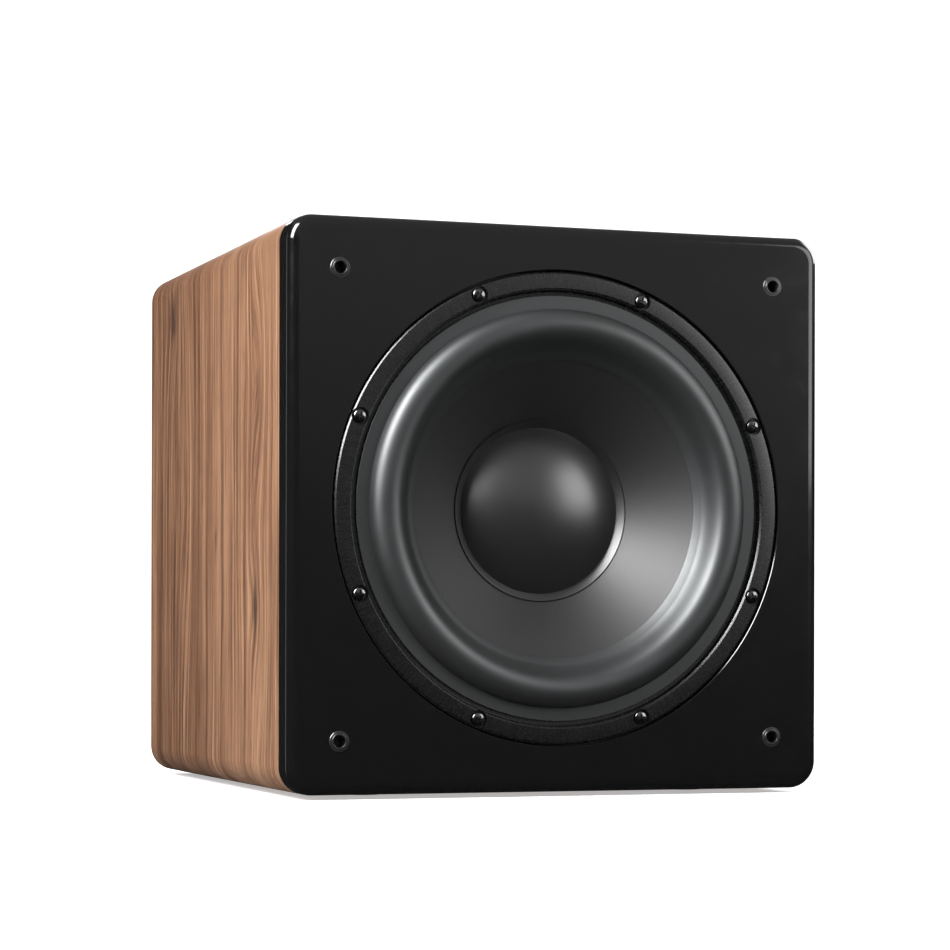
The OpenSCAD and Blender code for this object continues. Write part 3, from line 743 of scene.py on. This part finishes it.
def make_socket(x, z, node):
    """A rubber grille socket with a raised round rim and a blind hole."""

    def place(px, pz, d):
        return (x * SOCKET_PITCH / 2 + px * MM, FRONT_Y + d * MM, AXIS_Z + z * SOCKET_PITCH / 2 + pz * MM)

    outline = rounded_profile([
        (0, 11, 0), (3.9, 11, 0.3), (3.9, -0.8, 0.35), (4.9, -0.8, 0.35), (5.2, -0.35, 0.15),
        (6.3, -0.35, 0.2), (6.7, 0, 0), (5.6, 0, 0), (5.6, 14, 0.3), (0, 14, 0)], 6)
    obj = lathe(node + "_rim", outline, SOCKET, 64, place=place, closed=False)
    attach(obj, "cabinet")
    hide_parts(node)


# ---------- driver ----------


def screw_places():
    """Across and up from the driver's axis, in mm."""
    for i in range(SCREW_COUNT):
        a = math.radians(SCREW_START + i * 360 / SCREW_COUNT)
        yield SCREW_CIRCLE_R * math.cos(a), SCREW_CIRCLE_R * math.sin(a)


def make_flange():
    """The basket: flange, bead, step for the surround's land, legs as one wall, spider shelf and magnet seat."""
    outline = rounded_profile([
        (FLANGE_R, 6, 0), (FLANGE_R, 1.5, 0.5), (FLANGE_R - 1.5, 0.4, 0.7), (143.4, 0, 0.5), (142, 1.2, 0.6),
        (141.4, 4.8, 0.3), (131, 4.8, 0), (131, 8, 0), (134, 12, 0), (134, 20, 0), (80.5, 66, 0), (68, 66, 0),
        (68, 69.5, 0), (80, 69.5, 0), (80, 92, 0), (40, 92, 0), (40, 96, 0), (84, 96, 0), (84, 69, 0),
        (138.5, 20, 0), (138.5, 6, 0)])
    obj = lathe("basket", outline, FLANGE, 256)
    cut(obj, *[
        cylinder_tool(x * MM, AXIS_Z + z * MM, FRONT_Y - 2 * MM, FRONT_Y + COUNTERBORE_D * MM, COUNTERBORE_R * MM, 48)
        for x, z in screw_places()
    ])
    tidy_normals(obj, 30)
    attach(obj, "cabinet")
    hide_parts("driver_basket")


def radial_blend(obj):
    """Bakes the piece's placement into its mesh."""
    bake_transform(obj)


def smooth_between(start, end, start_angle, end_angle, steps):
    """Points of a smooth curve in (radius, depth), rising towards the front at the given angles in degrees."""
    reach = math.hypot(end[0] - start[0], end[1] - start[1])
    pulls = [
        (reach * math.cos(math.radians(angle)), -reach * math.sin(math.radians(angle)))
        for angle in (start_angle, end_angle)
    ]
    points = []
    for i in range(1, steps):
        t = i / steps
        a, b, c, d = (2 * t - 3) * t * t + 1, ((t - 2) * t + 1) * t, (3 - 2 * t) * t * t, (t - 1) * t * t
        points.append(tuple(a * start[k] + b * pulls[0][k] + c * end[k] + d * pulls[1][k] for k in (0, 1)))
    return points


def make_surround():
    """Half roll between an outer land glued to the flange and a sloping inner land glued to the cone."""

    def arc(centre_r, half_width, base_d, angles):
        return [
            (centre_r + half_width * math.cos(math.radians(t)), base_d - ROLL_HEIGHT * math.sin(math.radians(t)))
            for t in angles
        ]

    rubber = 1.4
    roll = arc(ROLL_R, ROLL_HALF_W, LAND_D, range(0, 141, 5))
    roll += smooth_between((101, 8.1), roll[-1], 33, 46, 12)[::-1]
    under = arc(ROLL_R + 0.2, ROLL_HALF_W - rubber, LAND_D + rubber, range(180, -1, -10))
    outline = [(129.1, 4.8), (138.8, 4.8), (138.8, 3.1), (138.5, LAND_D)] + roll
    outline += [(97.9, 10.0), (97.6, 10.4), (97.8, 11.2), (107, 4.2)] + under
    obj = lathe("surround_roll", outline, RUBBER, 256)
    radial_blend(obj)
    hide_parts("surround")


def cone_depth(r):
    return CONE_EDGE_D + (CONE_EDGE_R - r) * CONE_SLOPE


def make_cone():
    """A straight-sided paper cone of even thickness."""
    front = [(r, cone_depth(r)) for r in (CONE_OUTER_R, FORMER_R)]
    outline = front + [(r, d + CONE_WALL) for r, d in front[::-1]]
    obj = lathe("cone_shell", outline, PULP, 256)
    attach(obj, "cone_assembly")
    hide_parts("cone")


def make_dust_cap():
    """Part of a sphere, 1 mm thick, with a narrow rim glued to the cone."""
    sphere_r = (CAP_R**2 + CAP_HEIGHT**2) / (2 * CAP_HEIGHT)
    centre_d = cone_depth(CAP_R) - 1.2 - CAP_HEIGHT + sphere_r
    half, steps = math.asin(CAP_R / sphere_r), 24

    def arc(r):
        angles = [half * s / steps for s in range(steps + 1)]
        return [(r * math.sin(a), centre_d - r * math.cos(a)) for a in angles]

    outer, inner = arc(sphere_r), arc(sphere_r - 1)[::-1]
    rim, rim_d = CAP_RIM_R, cone_depth(CAP_RIM_R)
    outline = outer + [(rim - 0.3, rim_d - 1), (rim, rim_d - 0.7), (rim, rim_d),
                       (inner[0][0], cone_depth(inner[0][0]))] + inner
    obj = lathe("dust_dome", outline, CAP, 192, closed=False)
    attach(obj, "cone_assembly")
    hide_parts("dust_cap")


def cross_recess(place, half_length, half_width, half_depth, middle, turn):
    """Two crossing cutters for a screw head, in mm; place and middle are as for the head."""
    tools = []
    for k in (0, 1):
        size = (half_length * MM, half_depth * MM, half_width * MM)
        cutter = block("tool", [-v for v in size], size)
        spin = Matrix.Rotation(turn + k * math.pi / 2, 4, "Y")
        cutter.data.transform(Matrix.Translation(Vector(place(0, 0, middle))) @ spin)
        tools.append(cutter)
    return tools


def make_screws():
    """Eight domed screws with cross recesses, each stopped at its own angle."""
    rng = random.Random(4)
    head_r, dome_d, dome_height, seat_d, shank_r, tip_d = 4.4, 1.5, 1.8, COUNTERBORE_D, 2.45, 22
    dome = [
        (head_r * math.sin(math.radians(t)), dome_d - dome_height * math.cos(math.radians(t)))
        for t in range(0, 91, 9)
    ]
    outline = dome + [(head_r, seat_d), (shank_r, seat_d), (shank_r, tip_d), (0, tip_d)]
    parts = []
    for cx, cz in screw_places():

        def place(px, pz, d, cx=cx, cz=cz):
            return driver_place(cx + px, cz + pz, d)

        head = lathe("tool_head", outline, SCREW, 48, closed=False, place=place, smooth_angle=50)
        cut(head, *cross_recess(place, 2.6, 0.6, 2.2, -0.8, rng.uniform(0, math.pi / 2)))
        tidy_normals(head, 35)
        parts.append(head)
    obj = join("driver_screw_heads", parts)
    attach(obj, "cabinet")
    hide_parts("driver_screws")


# ---------- suspension behind the cone ----------


def make_spider():
    """Corrugated cloth disc between the coil former and the basket shelf."""
    cloth, edge_r, wave, wave_length = 0.8, 76, 2, 6
    radii = np.arange(SPIDER_INNER_R, SPIDER_OUTER_R + 0.01, 0.5)
    waves = [(r, SPIDER_D + wave * math.sin(2 * math.pi * (r - SPIDER_INNER_R) / wave_length)) for r in radii]
    front = [(FORMER_R, SPIDER_D)] + waves + [(edge_r, SPIDER_D)]
    outline = front + [(r, d + cloth) for r, d in front[::-1]]
    obj = lathe("spider_disc", outline, SPIDER_CLOTH, 128)
    radial_blend(obj)
    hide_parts("spider")


def make_tinsel_leads():
    """Two braided leads from the cone's neck to the terminal block, slack enough for the stroke."""
    lead_r, apart, low_end, rise, middle_d, lift, steps = 0.8, 6, 36, 60, 58, 3.5, 32
    tubes = []
    for side in (-1, 1):
        loops = []
        for i in range(steps + 1):
            t = i / steps
            up = low_end + rise * t
            d = middle_d + lift * (1 - t) ** 2 - math.sin(2 * math.pi * t) * (1 - t)
            loops.append([
                driver_place(side * apart + lead_r * math.cos(a), up, d + lead_r * math.sin(a))
                for a in np.linspace(0, 2 * math.pi, 12, endpoint=False)
            ])
        tubes.append(mesh_object("tube", *tube_from_loops(loops), BRAID, 60))
    obj = join("tinsel_braids", tubes)
    radial_blend(obj)
    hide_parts("tinsel_leads")


# ---------- feet ----------


def make_foot(node):
    """Rubber foot: a soft-edged disc with a screw in a recess underneath."""
    low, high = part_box(node)
    centre = (low + high) / 2
    radius = (high.x - low.x) / 2 / MM
    height = (high.z - low.z) / MM

    def place(x, z, d):
        return (centre.x + x * MM, centre.y + z * MM, high.z - d * MM)

    outline = rounded_profile([
        (radius, 0, 0), (radius, height, 0.9), (5.2, height, 0.3), (4.6, height - 1.4, 0.2),
        (0, height - 1.4, 0), (0, 0, 0)])
    rubber = lathe(node + "_rubber", outline, DARK_RUBBER, 64, place=place)
    outline = rounded_profile([
        (0, height - 0.5, 0), (3.4, height - 0.6, 0.5), (3.6, height - 1.3, 0), (0, height - 1.3, 0)])
    head = lathe("head", outline, ZINC, 32, closed=False, place=place)
    obj = join(node + "_disc", [rubber, head])
    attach(obj, "cabinet")
    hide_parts(node)


# ---------- amplifier panel ----------


def plate_block(name, at, w, h, out0, out1, material, bevel=0.0):
    """A box on the amplifier plate: across, up, width, height, and from one distance off its outer face to another."""
    low = ((at[0] - w / 2) * MM, PLATE_Y + out0 * MM, AXIS_Z + (at[1] - h / 2) * MM)
    high = ((at[0] + w / 2) * MM, PLATE_Y + out1 * MM, AXIS_Z + (at[1] + h / 2) * MM)
    return block(name, low, high, material, bevel * MM)


def make_heat_sink():
    """A base with upright fins that have rounded tips."""
    fin = 2
    parts = [plate_block("base", SINK_AT, *SINK_SIZE, 0, 4, ANODISED, 0.4)]
    for i in range(FIN_COUNT):
        x = SINK_AT[0] + (i / (FIN_COUNT - 1) - 0.5) * (SINK_SIZE[0] - fin)
        parts.append(plate_block("fin", (x, SINK_AT[1]), fin, SINK_SIZE[1], 3.2, 13, ANODISED, 0.6))
    obj = join("cooling_fins", parts)
    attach(obj, "cabinet")
    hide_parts("heat_sink")


def make_knob(node, at, body):
    """A fluted knob with a skirt, a dished top and a white pointer."""
    place = rear_place(at)
    flutes, flute_depth, segments = 24, 0.35, 288
    # Radius, distance from the plate, and how much of the flutes' depth is cut there
    profile = [
        (3.0, 2.4, 0), (8.6, 2.4, 0), (9.0, 2.8, 0), (9.0, 4.6, 0), (8.7, 5.0, 0), (7.9, 5.2, 0),
        (7.75, 5.6, 1), (7.3, 14.6, 1), (7.0, 15.5, 0.5), (6.3, 16.0, 0), (5.2, 15.9, 0), (0, 15.6, 0)]
    vertices, rings = [], []
    for r, d, cut_in in profile:
        if r == 0:
            rings.append([len(vertices)] * segments)
            vertices.append(place(0, 0, d))
            continue
        rings.append(list(range(len(vertices), len(vertices) + segments)))
        for k in range(segments):
            a = 2 * math.pi * k / segments
            rr = r - flute_depth * cut_in * (0.5 - 0.5 * math.cos(flutes * a)) ** 3
            vertices.append(place(rr * math.cos(a), rr * math.sin(a), d))
    grip = mesh_object("grip", vertices, ring_faces(rings), BLACK_PLASTIC, 40)
    pointer = plate_block("pointer", (at[0], at[1] + 4.4), 1.0, 4.6, 15.5, 16.0, PRINT, 0.1)
    mark = plate_block("mark", (at[0], at[1] + 8.35), 1.0, 0.8, 4.4, 5.15, PRINT, 0.1)
    obj = join(node + "_cap", [grip, pointer, mark])
    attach(obj, body)
    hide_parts(node)


def make_plate_print():
    """Thin printed marks: tick scales round the knobs, lines at the switches' ends and rings round the jacks."""
    ink, tick_w, scale_r, ticks, sweep = 0.03, 0.5, 11.2, 11, 300
    parts = []
    for at in (GAIN_AT, CROSSOVER_AT):
        for i in range(ticks):
            a = math.radians(90 + sweep / 2 - sweep / (ticks - 1) * i)
            long = 2.6 if i in (0, ticks // 2, ticks - 1) else 1.8
            low, high = Vector((-long / 2, 0, -tick_w / 2)), Vector((long / 2, ink, tick_w / 2))
            tick = block("tick", low * MM, high * MM, PRINT)
            r = scale_r + long / 2
            centre = rear_place(at)(r * math.cos(a), r * math.sin(a), 0)
            tick.data.transform(Matrix.Translation(centre) @ Matrix.Rotation(-a, 4, "Y"))
            parts.append(tick)
    for (x, z), reach in ((PHASE_AT, 6.5), (MODE_AT, 8.5)):
        for side in (-1, 1):
            parts.append(plate_block("line", (x, z + side * reach), 9, 0.35, 0, ink, PRINT))
    for at in JACKS_AT:
        ring = [(8.4, 0), (8.4, ink), (8.0, ink), (8.0, 0)]
        parts.append(lathe("ring", ring, PRINT, 64, place=rear_place(at)))
    obj = join("plate_marks", parts)
    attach(obj, "cabinet")


def make_jacks():
    """Two phono sockets: plated barrels and hex nuts, with a white and a red insulator."""
    barrel = rounded_profile([(4.15, -7, 0), (4.15, 9, 0.4), (3.2, 9, 0.3), (3.2, -7, 0)])
    nut = rounded_profile([(6.0, 0, 0), (6.0, 1.7, 0.3), (5.2, 2.0, 0.1), (4.15, 2.0, 0), (4.15, 0, 0)])
    insert = rounded_profile([
        (0, -17, 0), (3.2, -17, 0), (3.2, 7, 0.3), (1.65, 7, 0.3), (1.65, -7, 0), (0, -7, 0)])
    contact = [(1.6, 5.6), (1.6, -6.9), (1.3, -6.9), (1.3, 5.6)]
    barrels, inserts = [], []
    for at, colour in zip(JACKS_AT, (WHITE_PLASTIC, RED_PLASTIC)):
        place = rear_place(at)
        barrels.append(lathe("barrel", barrel, NICKEL, 48, place=place))
        barrels.append(lathe("nut", nut, NICKEL, 6, place=place))
        barrels.append(lathe("contact", contact, GOLD, 24, place=place))
        inserts.append(lathe("insulator", insert, colour, 48, closed=False, place=place))
    for name, parts, node, slot_name in (
        ("phono_barrels", barrels, "line_in_jacks", "jack_metal"),
        ("phono_insulators", inserts, "jack_inserts", "jack_insulator"),
    ):
        obj = join(name, parts)
        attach(obj, "cabinet")
        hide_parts(node)


def make_amp_screws():
    """Eight screws round the plate and two on the inlet's ears."""
    rng = random.Random(9)
    steps = (-1, 0, 1)
    # Place, how far out the head sits, head radius and height, shank radius and length
    spots = [((x * FIXING_PITCH, z * FIXING_PITCH), 0, 3.8, 2.2, 1.55, 18) for x in steps for z in steps if x or z]
    spots += [((INLET_AT[0] + x * INLET_SCREW_OUT, INLET_AT[1]), 1.6, 2.6, 1.6, 1.4, 7) for x in (-1, 1)]
    parts = []
    for at, out, head_r, head_h, shank_r, shank_l in spots:
        place = rear_place(at, out)
        dome = [
            (head_r * math.cos(math.radians(t)), head_h * (0.35 + 0.65 * math.sin(math.radians(t))))
            for t in range(0, 91, 9)
        ]
        outline = [(0, -shank_l), (shank_r, -shank_l), (shank_r, 0), (head_r, 0)] + dome
        head = lathe("head", outline, BLACK_ZINC, 40, closed=False, place=place, smooth_angle=50)
        cut(head, *cross_recess(place, head_r * 0.55, 0.38, 1.1, head_h, rng.uniform(0, math.pi / 2)))
        tidy_normals(head, 40)
        parts.append(head)
    obj = join("plate_screws", parts)
    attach(obj, "cabinet")
    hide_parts("amp_screws")


def make_rocker_marks():
    """The usual I and O of a mains switch, thin and white, on the rocker's two slopes."""
    rest_angle, hollow, half_length, middle_out, mark_at = -9, 1.8, 6.7, 5.8, 3.6
    low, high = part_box("power_rocker")
    centre_x = (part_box("rocker_housing")[0].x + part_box("rocker_housing")[1].x) / 2
    pivot = Vector((centre_x, PLATE_IN_Y - 2 * MM, (low.z + high.z) / 2))
    rest = Matrix.Translation(pivot) @ Matrix.Rotation(math.radians(rest_angle), 4, "Z")
    slope = math.atan2(hollow, half_length)
    bar = block("bar", (-0.3 * MM, 0, -1.6 * MM), (0.3 * MM, 0.05 * MM, 1.6 * MM), PRINT)
    ring = lathe("ring", [(1.6, 0), (1.6, 0.05), (1.1, 0.05), (1.1, 0)], PRINT, 40,
                 place=lambda x, z, d: (x * MM, d * MM, z * MM))
    for mark, side in ((bar, -1), (ring, 1)):
        lift = Matrix.Translation((side * mark_at * MM, (middle_out + hollow * mark_at / half_length) * MM, 0))
        mark.data.transform(rest @ lift @ Matrix.Rotation(side * slope, 4, "Z"))
    obj = join("rocker_marks", [bar, ring])
    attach(obj, "power_switch")


# ---------- CAD pieces kept as they are, with finished materials ----------


def finish_cad(obj, material, bevel):
    """Gives a CAD piece its material and, where it shows, softened edges, in mm."""
    obj.data.materials.clear()
    obj.data.materials.append(material)
    if bevel:
        modifier = obj.modifiers.new("soft_edges", "BEVEL")
        modifier.width = bevel * MM
        modifier.segments = 2
        modifier.limit_method = "ANGLE"
        modifier.angle_limit = math.radians(40)
        modifier.harden_normals = True


for material, bevel, nodes in (
    (FIBREBOARD, 0, ("top_panel", "bottom_panel", "left_panel", "right_panel", "window_brace")),
    (PAINT, 0, ("back_panel",)),
    (WADDING, 0, ("acoustic_wadding",)),
    (FOAM, 0, ("driver_gasket", "amp_gasket")),
    (FOIL, 0, ("coil_former",)),
    (COPPER, 0, ("voice_coil",)),
    (STEEL, 0, ("top_plate", "pole_yoke", "amp_back_box")),
    (FERRITE, 0, ("ring_magnet",)),
    (BROWN_BOARD, 0, ("driver_terminals",)),
    (ZINC, 0, ("t_nuts", "board_standoffs", "transformer_bolt", "inlet_pins", "slide_switch_bodies")),
    (NICKEL, 0, ("gain_pot", "crossover_pot")),
    (COAT, 0.3, ("amp_plate",)),
    (BOARD, 0, ("main_board", "control_board")),
    (YELLOW_TAPE, 0, ("transformer",)),
    (BLUE_SLEEVE, 0, ("reservoir_capacitors",)),
    (BLACK_PLASTIC, 0, ("power_transistors", "speaker_lead_black")),
    (BLACK_PLASTIC, 0.25, ("mains_inlet", "rocker_housing")),
    (BLACK_PLASTIC, 0.3, ("power_rocker",)),
    (WHITE_PLASTIC, 0.15, ("phase_slider", "mode_slider")),
    (LENS, 0, ("led_lens",)),
    (RED_PLASTIC, 0, ("speaker_lead_red",)),
):
    for node in nodes:
        finish_cad(NODES[node], material, bevel)

make_veneer()
make_baffle()
for side, x in (("left", -1), ("right", 1)):
    for level, z in (("top", 1), ("bottom", -1)):
        make_socket(x, z, f"grille_socket_{level}_{side}")
make_flange()
make_surround()
make_cone()
make_dust_cap()
make_screws()
make_spider()
make_tinsel_leads()
for corner in ("front_left", "front_right", "rear_left", "rear_right"):
    make_foot("foot_" + corner)
make_heat_sink()
make_knob("gain_knob", GAIN_AT, "gain_control")
make_knob("crossover_knob", CROSSOVER_AT, "crossover_control")
make_plate_print()
make_jacks()
make_amp_screws()
make_rocker_marks()

# ---------- stage ----------

# The studio round the object: the way in which it brightens, how far that way this starts and ends, and the
# brightness on either side
WORLD_UP = (0.3, -0.25, 0.95)
WORLD_EDGE = (0.345, 0.455)
WORLD_LEVELS = (0.02, 0.38)

# The photograph's view: angles in degrees, and the place from the middle of the front, in metres
VIEW_YAW = 19.124
VIEW_PITCH = 0.022
VIEW_ROLL = 0.131
VIEW_OFFSET = (-0.6775, -1.7735, -0.0817)
VIEW_LENS = 110.36
VIEW_SHIFT = (0.0047, 0.1656)


def make_stage():
    """A pale floor that curves up into a round wall, kept out of the gloss like a studio floor behind flags."""
    m = Material("stage_paper", (0.8, 0.8, 0.8), 0.9, Emission_Color=(1, 1, 1, 1), Emission_Strength=0.42)
    reach, rise, bend = 5.0, 6.0, 1.5
    profile = [(0.0, 0.0), (1.0, 0.0), (reach - bend, 0.0)]
    profile += [
        (reach - bend + bend * math.sin(math.radians(t)), bend - bend * math.cos(math.radians(t)))
        for t in range(10, 91, 10)
    ]
    profile.append((reach, rise))
    sweep = lathe("stage_sweep", profile, m.material, 64, closed=False, smooth_angle=60, place=lambda *at: at)
    sweep.visible_glossy = False


def softbox(name, azimuth, elevation, distance, size, power):
    """A light that faces the driver from a sphere round it: azimuth from the front towards its right-hand side."""
    az, el = math.radians(azimuth), math.radians(elevation)
    offset = Vector((math.sin(az) * math.cos(el), -math.cos(az) * math.cos(el), math.sin(el)))
    data = bpy.data.lights.new(name, "AREA")
    data.shape = "RECTANGLE"
    data.size, data.size_y = size
    data.energy = power
    obj = link(bpy.data.objects.new(name, data))
    obj.location = Vector((0, FRONT_Y, AXIS_Z)) + distance * offset
    obj.rotation_mode = "QUATERNION"
    obj.rotation_quaternion = (-offset).to_track_quat("-Z", "Y")


def make_lights():
    """A dark studio that brightens upwards and to the front right, a key light on the left and four softer ones."""
    world = bpy.data.worlds.new("studio")
    bpy.context.scene.world = world
    world.use_nodes = True
    tree = world.node_tree
    way = tree.nodes.new("ShaderNodeTexCoord").outputs["Generated"]
    height = tree.nodes.new("ShaderNodeVectorMath")
    height.operation = "DOT_PRODUCT"
    height.inputs[1].default_value = WORLD_UP
    level = tree.nodes.new("ShaderNodeMapRange")
    for key, value in zip(("From Min", "From Max", "To Min", "To Max"), WORLD_EDGE + WORLD_LEVELS):
        level.inputs[key].default_value = value
    tree.links.new(way, height.inputs[0])
    tree.links.new(height.outputs["Value"], level.inputs["Value"])
    tree.links.new(level.outputs[0], tree.nodes["Background"].inputs["Strength"])
    tree.nodes["Background"].inputs["Color"].default_value = (1, 1, 1, 1)
    softbox("key_left", -64, 36, 1.7, (0.65, 1.15), 85)
    softbox("fill_right", 54, 19, 1.35, (0.86, 0.75), 8.4)
    softbox("side_right", 108, 28, 1.7, (0.8, 0.9), 16)
    softbox("edge_left", -118, 2, 1.6, (0.1, 1.4), 1.2)
    softbox("rear_soft", 164, 38, 2.0, (1.2, 1.2), 24)


def make_camera():
    """The view of the photograph: a long lens, to the left of the front and below its middle."""
    yaw, pitch, roll = math.radians(VIEW_YAW), math.radians(VIEW_PITCH), math.radians(VIEW_ROLL)
    forward = Vector((math.sin(yaw) * math.cos(pitch), math.cos(yaw) * math.cos(pitch), math.sin(pitch)))
    right = Vector((math.cos(yaw), -math.sin(yaw), 0))
    up = right.cross(forward)
    right, up = math.cos(roll) * right + math.sin(roll) * up, math.cos(roll) * up - math.sin(roll) * right
    data = bpy.data.cameras.new("photo_view")
    data.sensor_width = 36
    data.lens = VIEW_LENS
    data.shift_x, data.shift_y = VIEW_SHIFT
    data.clip_end = 50
    camera = link(bpy.data.objects.new("photo_view", data))
    location = Vector((0, FRONT_Y, AXIS_Z)) + Vector(VIEW_OFFSET)
    turn = Matrix((right, up, -forward)).transposed().to_4x4()
    camera.matrix_world = Matrix.Translation(location) @ turn
    bpy.context.scene.camera = camera


make_stage()
make_lights()
make_camera()
bpy.context.scene.view_settings.view_transform = "Standard"
